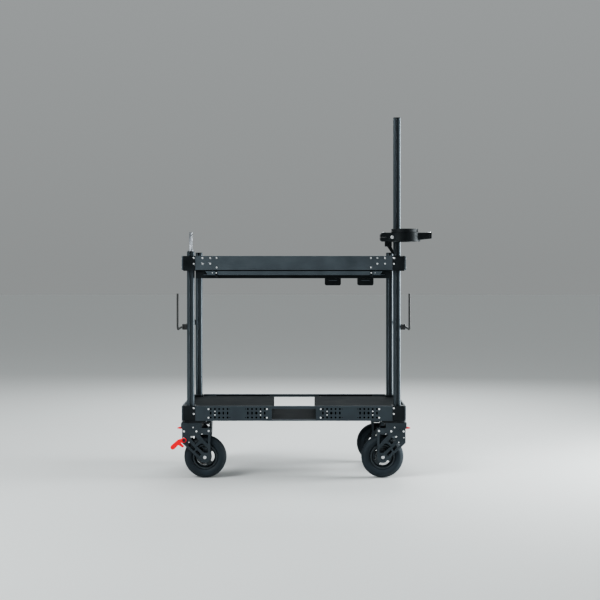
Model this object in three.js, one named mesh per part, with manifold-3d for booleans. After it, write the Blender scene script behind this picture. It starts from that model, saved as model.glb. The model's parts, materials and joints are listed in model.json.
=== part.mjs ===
// Camera cart: two trays on four slotted posts, a tall mast with a tripod bowl,
// a slide-out tray, two stand hooks and four swivel casters with air tyres.
// Units are millimetres, +Z is up, and the open front of the cart faces -Y.

import * as THREE from "three";
import { mergeVertices } from "three/addons/utils/BufferGeometryUtils.js";
import Module from "manifold-3d";

const wasm = await Module();
wasm.setup();

// Clearances
const seatGap = 0.3;
const runGap = 0.8;
const overrun = 5;
const weldTolerance = 0.0001;

// Posts and mast
const postPitchX = 972;
const postPitchY = 520;
const postSide = 34;
const postChamfer = 6;
const grooveWidth = 6;
const grooveDepth = 3;
const shortPostRise = 21;
const mastTop = 1698;

// Trays
const bottomTrayTop = 342;
const topTrayTop = 1046;
const blockHeight = 70;
const blockInnerReach = 23;
const blockOuterReach = 33;
const blockFaceReach = 33;
const blockBackReach = 27;
const topRailHeight = 66;
const bottomRailHeight = 70;
const railWeb = 6;
const railFlange = 30;
const flangeThickness = 4;
const sidePlate = 7;
const sideLedge = 20;
const deckDrop = 9;
const deckThickness = 3;
const bayWidth = 206;
const bayTopBar = 14;

// Slide-out tray and its cradle
const cradleSideGap = 1;
const runnerWidth = 47;
const cradleFootDrop = 15;
const cradleInset = 15;
const crossBarDepth = 22;
const slideSheetGap = 24;
const slideSheetThickness = 3;
const slideRearGap = 69;
const slideLipThickness = 12;
const slideLipHeight = 19;
const slideLipOverhang = 1;
const slideLipSlant = 12;
const slideRearLip = 15;
const runnerGrooveDepth = 12;
const sheetEngagement = 10;
const sheetPlay = 0.5;

// Pods under the cradle
const podWidth = 75;
const podHeight = 33;
const podDepth = 36;
const podRound = 8;
const podCentreShares = [0.442, 0.812];

// Stand hooks
const hookRodRadius = 5;
const hookHeight = 712;
const hookStandOff = 22;
const hookForwardReach = 250;
const hookRearReach = 24;
const hookTipRise = 162;
const hookBendRadius = 18;
const hookLugHalf = 13;
const hookBendStartShare = 0.125;
const hookBendEndShare = 0.875;

// Spigot on the front left post
const spigotRadius = 8;
const spigotHeight = 90;
const spigotGrooveRadius = 6.5;
const spigotFootRadius = 14;
const spigotFootHeight = 6;

// Camera mount on the mast
const mountRise = 67;
const mountHeight = 40;
const mountOffsetX = 30;
const mountOffsetY = 90;
const mountRingRadius = 72;
const beamLeft = 114;
const beamRight = 121;
const beamDepth = 84;
const beamTipHeight = 27;
const beamRound = 12;
const clampHalf = 38;
const clampBack = 22;
const clampCut = 3;
const lugWidth = 31;
const lugHeight = 14;
const lugDepth = 30;
const lugOffset = 75;
const bowlBore = 50;
const bowlRingRadius = 62.5;
const bowlRingHeight = 18;
const bowlNeckRadius = 53.7;
const bowlFloorRadius = 30;
const bowlExitRadius = 22;
const bowlDrop = 45;
const bowlFloor = 16;
const clampLeverLength = 44;
const clampLeverHub = 9;
const clampLeverTip = 6;
const clampLeverWidth = 14;
const clampLeverAngle = -60;
const clampPinRadius = 3.5;

// Wheels
const tyreRadius = 101;
const tyreWidth = 54;
const tyreShoulderDepthShare = 0.17;
const tyreShoulderWidthShare = 0.85;
const beadRadius = 53.8;
const rimFlangeRadius = 58.5;
const rimFlangeStep = 5;
const rimSeatStep = 7.5;
const rimWidth = 44;
const rimWall = 3;
const rimDisc = 12;
const hubRadius = 18;
const hubWidth = 62;
const windowInner = 28;
const windowOuter = 46;
const windowCount = 3;
const windowSweep = 80;
const windowStart = -63;
const wheelSegments = 24;

// Casters
const casterInsetX = 25;
const casterInsetY = 15;
const casterTrail = 43;
const forkTop = 237;
const forkLead = 64;
const forkCurveSteps = 5;
const forkGap = 66;
const forkPlate = 8;
const bossRadius = 26;
const forkCornerHeight = 168;
const forkCornerCut = 10;
const crownHeight = 29;
const crownLead = 60;
const kingpinRadius = 12;
const kingNutRadius = 17;
const kingNutHeight = 5;
const axleRadius = 6;
const axleHeadRadius = 9;
const axleHeadHeight = 7;

// Swivel heads
const headPlateHalfX = 48;
const headPlateHalfY = 44;
const headPlateThickness = 9;
const bearingRadius = 33;

// Swivel locks on the forks
const lockHousingInner = 36;
const lockHousingLead = 69;
const lockHousingRear = 28;
const lockCheekGap = 1.5;
const lockSlotDepth = 30;
const lockTabHalf = 12;
const lockTabHeight = 8;
const lockTabLength = 42;
const lockTabPoint = 12;
const lockSlotDrop = 7;

// Brake levers
const brakePivotLead = 54;
const brakePivotDrop = 56;
const brakeHubRadius = 11;
const brakeReach = 64;
const brakeWidth = 11;
const brakePinRadius = 3.5;
const brakeReleaseAngle = 150;

// Worked-out places
const postX = postPitchX / 2;
const postY = postPitchY / 2;
const trayBottom = bottomTrayTop - blockHeight;
const slideSheetBottom = topTrayTop - topRailHeight - slideSheetGap;
const cradleBottom = slideSheetBottom - cradleFootDrop;
const mountBottom = topTrayTop + mountRise;
const brakePivotHeight = forkTop - brakePivotDrop;
const blockInnerX = postX - blockInnerReach;
const slideInnerHalf = blockInnerX - cradleSideGap - runnerWidth;
const blockOuterX = postX + blockOuterReach;
const blockFaceY = postY + blockFaceReach;
const blockBackY = postY - blockBackReach;
const axleHeight = tyreRadius * Math.cos(Math.PI / wheelSegments);
const slideFrontY = -blockFaceY;
const cradleFrontY = cradleInset - blockFaceY;
const slideBackY = -cradleFrontY - crossBarDepth - slideRearGap;
const mountTop = mountBottom + mountHeight;
const bowlX = postX + mountOffsetX;
const bowlY = -postY - mountOffsetY;
const headBottom = forkTop + runGap;
const headTop = trayBottom - seatGap;
const headPlateFloor = headTop - headPlateThickness;
const lockSlotFloor = forkTop - lockSlotDrop;
const plateOuter = forkGap / 2 + forkPlate;

const toRadians = THREE.MathUtils.degToRad;

// Materials, one for each mesh
function finish(color, roughness, metalness) {
  return new THREE.MeshStandardMaterial({ color, roughness, metalness });
}

const slate = () => finish(0x59616a, 0.5, 0.4);
const blackAnodised = () => finish(0x15191c, 0.45, 0.5);
const blackPowder = () => finish(0x1b1f22, 0.6, 0.2);
const rubberBlack = () => finish(0x2a3034, 0.85, 0);
const brightSteel = () => finish(0xc4c7c9, 0.25, 0.9);
const brakeRed = () => finish(0xe0241b, 0.45, 0);

// A closed mesh: shared corners merged, empty triangles dropped, faces turned outwards
function closedMesh(source) {
  const bare = source.index ? source.clone() : source;
  bare.deleteAttribute("normal");
  bare.deleteAttribute("uv");
  const merged = mergeVertices(bare, weldTolerance);
  const kept = [];
  const corners = merged.index.array;
  for (let i = 0; i < corners.length; i += 3) {
    const [a, b, c] = [corners[i], corners[i + 1], corners[i + 2]];
    if (a !== b && b !== c && c !== a) {
      kept.push(a, b, c);
    }
  }
  merged.setIndex(kept);
  if (signedVolume(merged) < 0) {
    for (let i = 0; i < kept.length; i += 3) {
      [kept[i + 1], kept[i + 2]] = [kept[i + 2], kept[i + 1]];
    }
    merged.setIndex(kept);
  }
  return merged;
}

function signedVolume(geometry) {
  const places = geometry.attributes.position;
  const corners = geometry.index.array;
  const [a, b, c] = [new THREE.Vector3(), new THREE.Vector3(), new THREE.Vector3()];
  let total = 0;
  for (let i = 0; i < corners.length; i += 3) {
    a.fromBufferAttribute(places, corners[i]);
    b.fromBufferAttribute(places, corners[i + 1]);
    c.fromBufferAttribute(places, corners[i + 2]);
    total += a.dot(b.cross(c)) / 6;
  }
  return total;
}

// Solids for joining and cutting
function solid(geometry) {
  const mesh = closedMesh(geometry);
  return new wasm.Manifold(new wasm.Mesh({
    numProp: 3,
    vertProperties: new Float32Array(mesh.attributes.position.array),
    triVerts: new Uint32Array(mesh.index.array),
  }));
}

function surface(body) {
  const mesh = body.getMesh();
  const geometry = new THREE.BufferGeometry();
  geometry.setAttribute("position", new THREE.BufferAttribute(mesh.vertProperties, 3));
  geometry.setIndex(new THREE.BufferAttribute(mesh.triVerts, 1));
  return geometry;
}

function joined(first, ...others) {
  return others.reduce((sum, next) => sum.add(solid(next)), solid(first));
}

function without(body, ...cutters) {
  return cutters.reduce((rest, next) => rest.subtract(solid(next)), body);
}

// Shapes
function block(x0, x1, y0, y1, z0, z1) {
  const geometry = new THREE.BoxGeometry(x1 - x0, y1 - y0, z1 - z0);
  geometry.translate((x0 + x1) / 2, (y0 + y1) / 2, (z0 + z1) / 2);
  return geometry;
}

function outline(points) {
  return new THREE.Shape(points.map(([x, y]) => new THREE.Vector2(x, y)));
}

// A plan outline raised from z0 to z1
function raised(shape, z0, z1, curveSegments = 6) {
  const options = { depth: z1 - z0, bevelEnabled: false, curveSegments };
  const geometry = new THREE.ExtrudeGeometry(shape, options);
  geometry.translate(0, 0, z0);
  return geometry;
}

// A front-view outline (X, Z) carried from y0 to y1
function carried(shape, y0, y1, curveSegments = 6) {
  const options = { depth: y1 - y0, bevelEnabled: false, curveSegments };
  const geometry = new THREE.ExtrudeGeometry(shape, options);
  geometry.rotateX(Math.PI / 2);
  geometry.translate(0, y1, 0);
  return geometry;
}

// A profile of [radius, height] pairs turned about Z
function turned(profile, segments) {
  const points = profile.map(([r, h]) => new THREE.Vector2(r, h));
  const geometry = new THREE.LatheGeometry(points, segments);
  geometry.rotateX(Math.PI / 2);
  return geometry;
}

function upright(radius, z0, z1, segments = 16) {
  return turned([[0, z0], [radius, z0], [radius, z1], [0, z1]], segments);
}

// A closed profile of [radius, across] pairs turned about Y, with a flat side below
function wheelTurned(profile, segments) {
  const points = [...profile, profile[0]].map(([r, h]) => new THREE.Vector2(r, h));
  const geometry = new THREE.LatheGeometry(points, segments);
  geometry.rotateY(Math.PI / segments);
  return geometry;
}

function crossPin(radius, y0, y1, x, z, segments = 12) {
  const geometry = new THREE.CylinderGeometry(radius, radius, y1 - y0, segments);
  geometry.translate(x, (y0 + y1) / 2, z);
  return geometry;
}

// A square with cut corners, centred on (x, y)
function cutSquare(x, y, half, chamfer) {
  const near = half - chamfer;
  return [
    [x + half, y - near], [x + half, y + near], [x + near, y + half], [x - near, y + half],
    [x - half, y + near], [x - half, y - near], [x - near, y - half], [x + near, y - half],
  ];
}

const cart = new THREE.Group();

function place(name, geometry, material, parent = cart) {
  const mesh = new THREE.Mesh(closedMesh(geometry), material);
  mesh.name = name;
  parent.add(mesh);
  return mesh;
}

const corners = [
  { name: "front_left", short: "fl", sideX: -1, sideY: -1 },
  { name: "front_right", short: "fr", sideX: 1, sideY: -1 },
  { name: "rear_left", short: "rl", sideX: -1, sideY: 1 },
  { name: "rear_right", short: "rr", sideX: 1, sideY: 1 },
];

// Posts: a square extrusion with cut corners and one groove in each face
function postOutline() {
  const half = postSide / 2;
  const near = half - postChamfer;
  const lip = grooveWidth / 2;
  const bed = half - grooveDepth;
  const side = [[half, -near], [half, -lip], [bed, -lip], [bed, lip], [half, lip], [half, near]];
  const points = [];
  for (let turn = 0; turn < 4; turn += 1) {
    const c = Math.round(Math.cos((turn * Math.PI) / 2));
    const s = Math.round(Math.sin((turn * Math.PI) / 2));
    for (const [x, y] of side) {
      points.push([x * c - y * s, x * s + y * c]);
    }
  }
  return outline(points);
}

for (const corner of corners) {
  const isMast = corner.name === "front_right";
  const top = isMast ? mastTop : topTrayTop + shortPostRise;
  const name = isMast ? "mast_post_front_right" : `post_${corner.name}`;
  const post = place(name, raised(postOutline(), trayBottom, top), blackAnodised());
  post.position.set(corner.sideX * postX, corner.sideY * postY, 0);
}

// Corner blocks: each clamps a post in a through bore
function cornerBlock(corner, trayTop) {
  const { sideX, sideY } = corner;
  const xs = [sideX * blockInnerX, sideX * blockOuterX].sort((a, b) => a - b);
  const ys = [sideY * blockBackY, sideY * blockFaceY].sort((a, b) => a - b);
  const body = joined(block(...xs, ...ys, trayTop - blockHeight, trayTop));
  const half = postSide / 2 + seatGap;
  const bore = outline(cutSquare(sideX * postX, sideY * postY, half, postChamfer));
  return surface(without(body, raised(bore, trayTop - blockHeight - overrun, trayTop + overrun)));
}

// Front and rear rails: a web with a foot flange and a ledge that carries the deck
function longRail(sideY, trayTop, height, hasBay) {
  const reach = blockInnerX - seatGap;
  const web = sideY * blockFaceY;
  const foot = trayTop - height;
  const ledgeTop = trayTop - deckDrop - deckThickness - seatGap;
  const span = (depth) => [web, web - sideY * depth].sort((a, b) => a - b);
  let rail = joined(
    block(-reach, reach, ...span(railWeb), foot, trayTop),
    block(-reach, reach, ...span(railFlange), foot, foot + flangeThickness),
    block(-reach, reach, ...span(railFlange), ledgeTop - flangeThickness, ledgeTop),
  );
  if (hasBay) {
    const half = bayWidth / 2;
    const sill = foot + flangeThickness + seatGap + deckThickness;
    const behind = [web - sideY * railWeb, web - sideY * (railFlange + overrun)];
    const wall = half + deckThickness + seatGap;
    rail = without(
      rail,
      block(-half, half, ...span(railWeb + overrun).map((y) => y + sideY * seatGap),
        sill, trayTop - bayTopBar),
      block(-wall, wall, ...behind.sort((a, b) => a - b), foot + flangeThickness, trayTop),
    );
  }
  return surface(rail);
}

// Side rails: a plate outside the blocks with a ledge between them
function sideRail(sideX, trayTop, height) {
  const inner = blockOuterX + seatGap;
  const outer = blockOuterX + sidePlate;
  const ledgeTop = trayTop - deckDrop - deckThickness - seatGap;
  const ledgeEnd = blockBackY - seatGap;
  const plateX = [sideX * inner, sideX * outer].sort((a, b) => a - b);
  const ledgeX = [sideX * (inner - sideLedge), sideX * outer].sort((a, b) => a - b);
  return surface(joined(
    block(...plateX, -blockFaceY, blockFaceY, trayTop - height, trayTop),
    block(...ledgeX, -ledgeEnd, ledgeEnd, ledgeTop - flangeThickness, ledgeTop),
  ));
}

// Decks: a sheet notched round the blocks; the lower one dips into a well behind the bay
function deck(trayTop, foot, hasWell) {
  const halfX = blockOuterX;
  const halfY = blockFaceY - railWeb - seatGap;
  const top = trayTop - deckDrop;
  const under = top - deckThickness;
  const notchX = blockInnerX - seatGap;
  const notchY = blockBackY - seatGap;
  const section = [[-halfX, under], [halfX, under], [halfX, top], [-halfX, top]];
  if (hasWell) {
    const well = bayWidth / 2;
    const wall = well + deckThickness;
    const floor = foot + flangeThickness + seatGap;
    section.splice(1, 0, [-wall, under], [-wall, floor], [wall, floor], [wall, under]);
    section.splice(7, 0, [well, top], [well, floor + deckThickness],
      [-well, floor + deckThickness], [-well, top]);
  }
  const notches = corners.map(({ sideX, sideY }) => {
    const xs = [sideX * notchX, sideX * (halfX + overrun)].sort((a, b) => a - b);
    const ys = [sideY * notchY, sideY * (halfY + overrun)].sort((a, b) => a - b);
    return block(...xs, ...ys, under - overrun, top + overrun);
  });
  return surface(without(joined(carried(outline(section), -halfY, halfY)), ...notches));
}

const trays = [
  { name: "top", top: topTrayTop, height: topRailHeight, hasBay: false },
  { name: "bottom", top: bottomTrayTop, height: bottomRailHeight, hasBay: true },
];

for (const tray of trays) {
  for (const corner of corners) {
    place(`${tray.name}_corner_${corner.name}`, cornerBlock(corner, tray.top), blackPowder());
  }
  place(`${tray.name}_rail_front`, longRail(-1, tray.top, tray.height, tray.hasBay), slate());
  place(`${tray.name}_rail_rear`, longRail(1, tray.top, tray.height, tray.hasBay), slate());
  place(`${tray.name}_rail_left`, sideRail(-1, tray.top, tray.height), slate());
  place(`${tray.name}_rail_right`, sideRail(1, tray.top, tray.height), slate());
  const foot = tray.top - tray.height;
  place(`${tray.name}_deck`, deck(tray.top, foot, tray.hasBay), blackPowder());
}

// Slide-out tray: a sheet with a pointed front lip and a low rear lip
function slideTray() {
  const half = slideInnerHalf + sheetEngagement;
  const lipTop = slideInnerHalf + slideLipOverhang;
  const lipLow = lipTop - slideLipSlant;
  const lipBottom = slideSheetBottom;
  const lipUpper = lipBottom + slideLipHeight;
  const lip = outline([
    [-lipLow, lipBottom], [lipLow, lipBottom], [lipTop, lipUpper], [-lipTop, lipUpper],
  ]);
  const back = slideBackY;
  const sheetTop = slideSheetBottom + slideSheetThickness;
  const inside = slideInnerHalf - runGap;
  return surface(joined(
    block(-half, half, slideFrontY + slideLipThickness, back, slideSheetBottom, sheetTop),
    block(-inside, inside, slideFrontY, cradleFrontY + overrun, slideSheetBottom, sheetTop),
    carried(lip, slideFrontY, slideFrontY + slideLipThickness),
    block(-inside, inside, back - slideSheetThickness, back, slideSheetBottom,
      slideSheetBottom + slideRearLip),
  ));
}

// Cradle: two grooved runners joined by a front and a rear cross bar
function slideCradle() {
  const outer = slideInnerHalf + runnerWidth;
  const top = topTrayTop - topRailHeight - seatGap;
  const barTop = slideSheetBottom - sheetPlay;
  const frontY = cradleFrontY;
  const rearY = -cradleFrontY;
  const grooveEnd = slideInnerHalf + runnerGrooveDepth;
  const grooveTop = slideSheetBottom + slideSheetThickness + sheetPlay;
  const runners = [-1, 1].map((side) => {
    const xs = [side * slideInnerHalf, side * outer].sort((a, b) => a - b);
    return block(...xs, frontY, rearY, cradleBottom, top);
  });
  const half = slideInnerHalf + overrun;
  const frame = joined(
    ...runners,
    block(-half, half, frontY, frontY + crossBarDepth, cradleBottom, barTop),
    block(-half, half, rearY - crossBarDepth, rearY, cradleBottom, top),
  );
  return surface(without(
    frame,
    block(-grooveEnd, grooveEnd, frontY - overrun, rearY - crossBarDepth, barTop, grooveTop),
  ));
}

place("slide_tray", slideTray(), slate());
place("slide_cradle", slideCradle(), blackPowder());

// Pods: boxes with rounded lower corners hung on the front cross bar
function pod() {
  const half = podWidth / 2;
  const shape = new THREE.Shape();
  shape.moveTo(-half, 0);
  shape.lineTo(-half, podRound - podHeight);
  shape.absarc(podRound - half, podRound - podHeight, podRound, Math.PI, 1.5 * Math.PI);
  shape.absarc(half - podRound, podRound - podHeight, podRound, 1.5 * Math.PI, 2 * Math.PI);
  shape.lineTo(half, 0);
  return carried(shape, -podDepth / 2, podDepth / 2, 4);
}

["inner", "outer"].forEach((name, index) => {
  const hung = place(`undertray_pod_${name}`, pod(), blackPowder());
  const x = podCentreShares[index] * slideInnerHalf;
  hung.position.set(x, cradleFrontY + crossBarDepth / 2, cradleBottom - seatGap);
});

// Stand hooks: a bent rod with two lugs that bolt to the posts' outer faces
class HookPath extends THREE.Curve {
  getPoint(t, target = new THREE.Vector3()) {
    const foot = -postY - hookForwardReach;
    const rear = postY + hookRearReach;
    const turnY = foot + hookBendRadius;
    if (t <= hookBendStartShare) {
      return target.set(0, THREE.MathUtils.lerp(rear, turnY, t / hookBendStartShare), 0);
    }
    if (t >= hookBendEndShare) {
      const rise = (t - hookBendEndShare) / (1 - hookBendEndShare);
      return target.set(0, foot, THREE.MathUtils.lerp(hookBendRadius, hookTipRise, rise));
    }
    const angle = ((t - hookBendStartShare) / (hookBendEndShare - hookBendStartShare)) * (Math.PI / 2);
    return target.set(
      0,
      turnY - hookBendRadius * Math.sin(angle),
      hookBendRadius * (1 - Math.cos(angle)),
    );
  }

  getUtoTmapping(u) {
    return u;
  }
}

function standHook(sideX) {
  const section = new THREE.Shape();
  section.absarc(0, 0, hookRodRadius, 0, 2 * Math.PI);
  const rod = new THREE.ExtrudeGeometry(section, {
    steps: 8,
    extrudePath: new HookPath(),
    curveSegments: 10,
  });
  const lugs = [-1, 1].map((sideY) => {
    const reach = hookStandOff - seatGap;
    const xs = [0, -sideX * reach].sort((a, b) => a - b);
    const y = sideY * postY;
    return block(...xs, y - hookLugHalf, y + hookLugHalf, -hookLugHalf, hookLugHalf);
  });
  return surface(joined(rod, ...lugs));
}

for (const [name, sideX] of [["left", -1], ["right", 1]]) {
  const hook = place(`stand_hook_${name}`, standHook(sideX), blackPowder());
  hook.position.set(sideX * (postX + postSide / 2 + hookStandOff), 0, hookHeight);
}

// Spigot: a foot, a shank and the catch groove near its top
function spigot() {
  const foot = spigotFootHeight;
  const grooveTop = spigotHeight - spigotRadius;
  const grooveLow = grooveTop - spigotRadius;
  return turned([
    [0, 0], [spigotFootRadius, 0], [spigotFootRadius, foot], [spigotRadius, foot],
    [spigotRadius, grooveLow], [spigotGrooveRadius, grooveLow], [spigotGrooveRadius, grooveTop],
    [spigotRadius, grooveTop], [spigotRadius, spigotHeight], [0, spigotHeight],
  ], 16);
}

const stud = place("light_spigot", spigot(), brightSteel());
stud.position.set(-postX, -postY, topTrayTop + shortPostRise + seatGap);

// Camera mount arm: a beam and a ring round the bowl seat, with a clamp round the mast
const mountLugX = bowlX - lugOffset;
const mountLugY = bowlY + beamDepth / 2 - lugDepth / 2;
const clampLeverZ = mountBottom - lugHeight;

function mountArm() {
  const left = bowlX - beamLeft;
  const right = bowlX + beamRight;
  const tip = mountTop - beamTipHeight;
  const beam = new THREE.Shape();
  beam.moveTo(left + beamRound, mountBottom);
  beam.lineTo(bowlX, mountBottom);
  beam.lineTo(right, tip);
  beam.lineTo(right, mountTop);
  beam.lineTo(left + beamRound, mountTop);
  beam.absarc(left + beamRound, mountTop - beamRound, beamRound, 0.5 * Math.PI, Math.PI);
  beam.absarc(left + beamRound, mountBottom + beamRound, beamRound, Math.PI, 1.5 * Math.PI);
  const half = beamDepth / 2;
  const back = -postY + clampBack;
  const lugHalf = lugWidth / 2;
  const bore = postSide / 2 + seatGap;
  const seat = bowlNeckRadius + seatGap;
  const arm = joined(
    carried(beam, bowlY - half, bowlY + half, 3),
    upright(mountRingRadius, 0, mountHeight, 32).translate(bowlX, bowlY, mountBottom),
    block(postX - clampHalf, postX + clampHalf, bowlY, back, mountBottom, mountTop),
    block(mountLugX - lugHalf, mountLugX + lugHalf, mountLugY - lugDepth / 2,
      mountLugY + lugDepth / 2, mountBottom - lugHeight - clampLeverHub, mountBottom + overrun),
  );
  const slot = clampLeverWidth / 2 + runGap;
  const mast = outline(cutSquare(postX, -postY, bore, postChamfer));
  return surface(without(
    arm,
    upright(seat, -overrun, mountHeight + overrun, 32).translate(bowlX, bowlY, mountBottom),
    raised(mast, mountBottom - overrun, mountTop + overrun),
    block(postX - clampHalf - overrun, postX - bore + overrun, -postY - clampCut / 2,
      -postY + clampCut / 2, mountBottom - overrun, mountTop + overrun),
    block(mountLugX - lugWidth, mountLugX + lugWidth, mountLugY - slot, mountLugY + slot,
      mountBottom - lugHeight - 2 * clampLeverHub, mountBottom - runGap),
    crossPin(clampPinRadius + seatGap, mountLugY - lugDepth, mountLugY + lugDepth,
      mountLugX, clampLeverZ),
  ));
}

// Tripod bowl: a ring on the arm, a neck in its seat and a round hollow with an exit below
function tripodBowl() {
  const ringTop = bowlRingHeight + seatGap;
  const floor = ringTop - bowlDrop;
  const steps = 6;
  const hollow = [];
  const endAngle = Math.asin(bowlExitRadius / bowlBore);
  for (let step = 0; step <= steps; step += 1) {
    const angle = THREE.MathUtils.lerp(endAngle, Math.PI / 2, step / steps);
    hollow.push([bowlBore * Math.sin(angle), ringTop - bowlBore * Math.cos(angle)]);
  }
  const profile = [
    ...hollow,
    [bowlRingRadius, ringTop], [bowlRingRadius, seatGap], [bowlNeckRadius, seatGap],
    [bowlNeckRadius, floor], [bowlFloorRadius, floor - bowlFloor],
    [bowlExitRadius, floor - bowlFloor],
  ];
  return turned([...profile, profile[0]], 32);
}

// Clamp lever: a hub with its pin and a tapered handle
function clampLever() {
  const angle = toRadians(clampLeverAngle);
  const tipX = clampLeverLength * Math.cos(angle);
  const tipZ = clampLeverLength * Math.sin(angle);
  const shape = new THREE.Shape();
  shape.absarc(0, 0, clampLeverHub, angle + Math.PI / 2, angle + 1.5 * Math.PI);
  shape.absarc(tipX, tipZ, clampLeverTip, angle - Math.PI / 2, angle + Math.PI / 2);
  const half = clampLeverWidth / 2;
  return surface(joined(
    carried(shape, -half, half, 6),
    crossPin(clampPinRadius, -lugDepth / 2, lugDepth / 2, 0, 0),
  ));
}

place("camera_mount_arm", mountArm(), blackPowder());
const bowl = place("tripod_bowl", tripodBowl(), blackAnodised());
bowl.position.set(bowlX, bowlY, mountTop);
const clampHandle = place("mount_clamp_lever", clampLever(), blackPowder());
clampHandle.position.set(mountLugX, mountLugY, clampLeverZ);

// Tyre and rim, turned about the axle
function tyre() {
  const half = tyreWidth / 2;
  const bead = rimWidth / 2 - rimSeatStep;
  const edge = rimWidth / 2 - rimFlangeStep;
  const wall = rimFlangeRadius + seatGap;
  const depth = tyreRadius - beadRadius;
  const side = [
    [beadRadius, bead], [wall + seatGap, edge - seatGap], [wall + rimWall, half - rimWall],
    [beadRadius + depth / 2, half],
    [tyreRadius - depth * tyreShoulderDepthShare, half * tyreShoulderWidthShare],
    [tyreRadius, half / 2],
  ];
  const mirrored = side.map(([r, h]) => [r, -h]).reverse();
  return wheelTurned([...side, ...mirrored], wheelSegments);
}

function rim() {
  const half = rimWidth / 2;
  const seat = beadRadius - seatGap;
  const barrel = seat - rimWall;
  const disc = rimDisc / 2;
  const side = [
    [seat, half - rimSeatStep], [rimFlangeRadius, half - rimFlangeStep],
    [rimFlangeRadius, half], [barrel, half], [windowOuter + rimWall, disc],
    [hubRadius, disc], [hubRadius, hubWidth / 2], [axleRadius + seatGap, hubWidth / 2],
  ];
  const mirrored = side.map(([r, h]) => [r, -h]).reverse();
  const body = joined(wheelTurned([...side, ...mirrored], wheelSegments));
  const cutters = [];
  for (let index = 0; index < windowCount; index += 1) {
    const middle = toRadians(windowStart) + (index * 2 * Math.PI) / windowCount;
    const sweep = toRadians(windowSweep) / 2;
    const shape = new THREE.Shape();
    shape.absarc(0, 0, windowOuter, middle - sweep, middle + sweep);
    shape.absarc(0, 0, windowInner, middle + sweep, middle - sweep, true);
    cutters.push(carried(shape, -rimDisc, rimDisc, 4));
  }
  return surface(without(body, ...cutters));
}

// Fork: two pierced side plates joined by a crown with the kingpin's bore
const forkRear = casterTrail + bossRadius;
const forkSpanX = forkRear + forkLead;
const forkSpanZ = forkTop - axleHeight;

const forkWindowShares = [
  [[0.083, 0.78], [0.391, 0.78], [0.083, 0.44]],
  [[0.391, 0.557], [0.559, 0.728], [0.72, 0.743], [0.67, 0.603], [0.514, 0.441]],
  [[0.083, 0.301], [0.263, 0.471], [0.316, 0.478], [0.471, 0.375], [0.226, 0.16], [0.083, 0.15]],
  [[0.76, 0.54], [0.83, 0.441], [0.586, 0.213], [0.524, 0.284]],
  [[0.478, 0.25], [0.541, 0.184], [0.379, 0.044], [0.316, 0.1]],
];

function forkPlateShape() {
  const cornerX = forkLead - forkCornerCut;
  const cornerZ = forkCornerHeight - forkCornerCut;
  const fromAxleX = cornerX + casterTrail;
  const fromAxleZ = cornerZ - axleHeight;
  const distance = Math.hypot(fromAxleX, fromAxleZ);
  const tangent = Math.atan2(fromAxleZ, fromAxleX) - Math.acos(bossRadius / distance);
  const shape = new THREE.Shape();
  shape.moveTo(forkLead, forkTop);
  shape.lineTo(-forkRear, forkTop);
  shape.absarc(-casterTrail, axleHeight, bossRadius, -Math.PI, tangent);
  shape.lineTo(cornerX, cornerZ);
  shape.lineTo(forkLead, forkCornerHeight);
  return shape;
}

function forkWindow(shares) {
  const points = shares.map(([x, z]) => [x * forkSpanX - forkRear, z * forkSpanZ + axleHeight]);
  const reach = plateOuter + overrun;
  return carried(outline(points), -reach, reach);
}

function fork() {
  const inner = forkGap / 2;
  const plates = [-1, 1].map((side) => {
    const ys = [side * inner, side * plateOuter].sort((a, b) => a - b);
    return carried(forkPlateShape(), ...ys, forkCurveSteps);
  });
  const crownFloor = forkTop - crownHeight;
  const half = inner + forkPlate / 2;
  const outside = plateOuter + overrun;
  const crown = block(-forkRear + bossRadius / 2, crownLead, -half, half, crownFloor, forkTop);
  const housing = block(-lockHousingRear, lockHousingLead, -plateOuter, plateOuter,
    forkTop - seatGap, headPlateFloor - runGap);
  const slotHalf = lockTabHalf + seatGap;
  const slotTop = lockSlotFloor + lockTabHeight + 2 * seatGap;
  const cupRoom = bearingRadius + lockCheekGap;
  const around = without(
    joined(housing),
    block(-lockHousingRear - overrun, lockHousingInner, -cupRoom, cupRoom, forkTop,
      headPlateFloor),
  );
  return surface(without(
    without(joined(...plates), ...forkWindowShares.map(forkWindow))
      .add(solid(crown))
      .add(around),
    block(lockHousingLead - lockSlotDepth, lockHousingLead + overrun, -slotHalf, slotHalf,
      lockSlotFloor, slotTop),
    upright(kingpinRadius + seatGap, crownFloor - overrun, forkTop + overrun),
    crossPin(axleRadius + seatGap, -outside, outside, -casterTrail, axleHeight),
    crossPin(brakePinRadius + seatGap, inner - overrun, outside, brakePivotLead,
      brakePivotHeight),
  ));
}

function axle() {
  const grip = plateOuter + seatGap;
  const end = grip + axleHeadHeight;
  const geometry = turned([
    [0, -end], [axleHeadRadius, -end], [axleHeadRadius, -grip], [axleRadius, -grip],
    [axleRadius, grip], [axleHeadRadius, grip], [axleHeadRadius, end], [0, end],
  ], 12);
  return geometry.rotateX(Math.PI / 2);
}

// Brake lever: a hub, a foot pedal and a lower prong that meets the tyre
const brakeOutlineShares = [
  [0.456, 0.036], [0.941, -0.382], [0.984, -0.44], [1, -0.512], [0.977, -0.598],
  [0.901, -0.668], [0.804, -0.683], [0.716, -0.643], [0.42, -0.345], [0.094, -0.538],
  [0, -0.431], [0.266, -0.188],
];

function brakeLever() {
  const arm = outline([
    [0, brakeHubRadius],
    [0, -brakeHubRadius],
    ...[...brakeOutlineShares].reverse().map(([x, z]) => [x * brakeReach, z * brakeReach]),
  ]);
  const near = plateOuter + seatGap;
  return surface(joined(
    carried(arm, near, near + brakeWidth),
    crossPin(brakeHubRadius, near, near + brakeWidth, 0, 0, 16),
    crossPin(brakePinRadius, forkGap / 2 + seatGap, near + brakeWidth, 0, 0),
  ));
}

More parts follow.
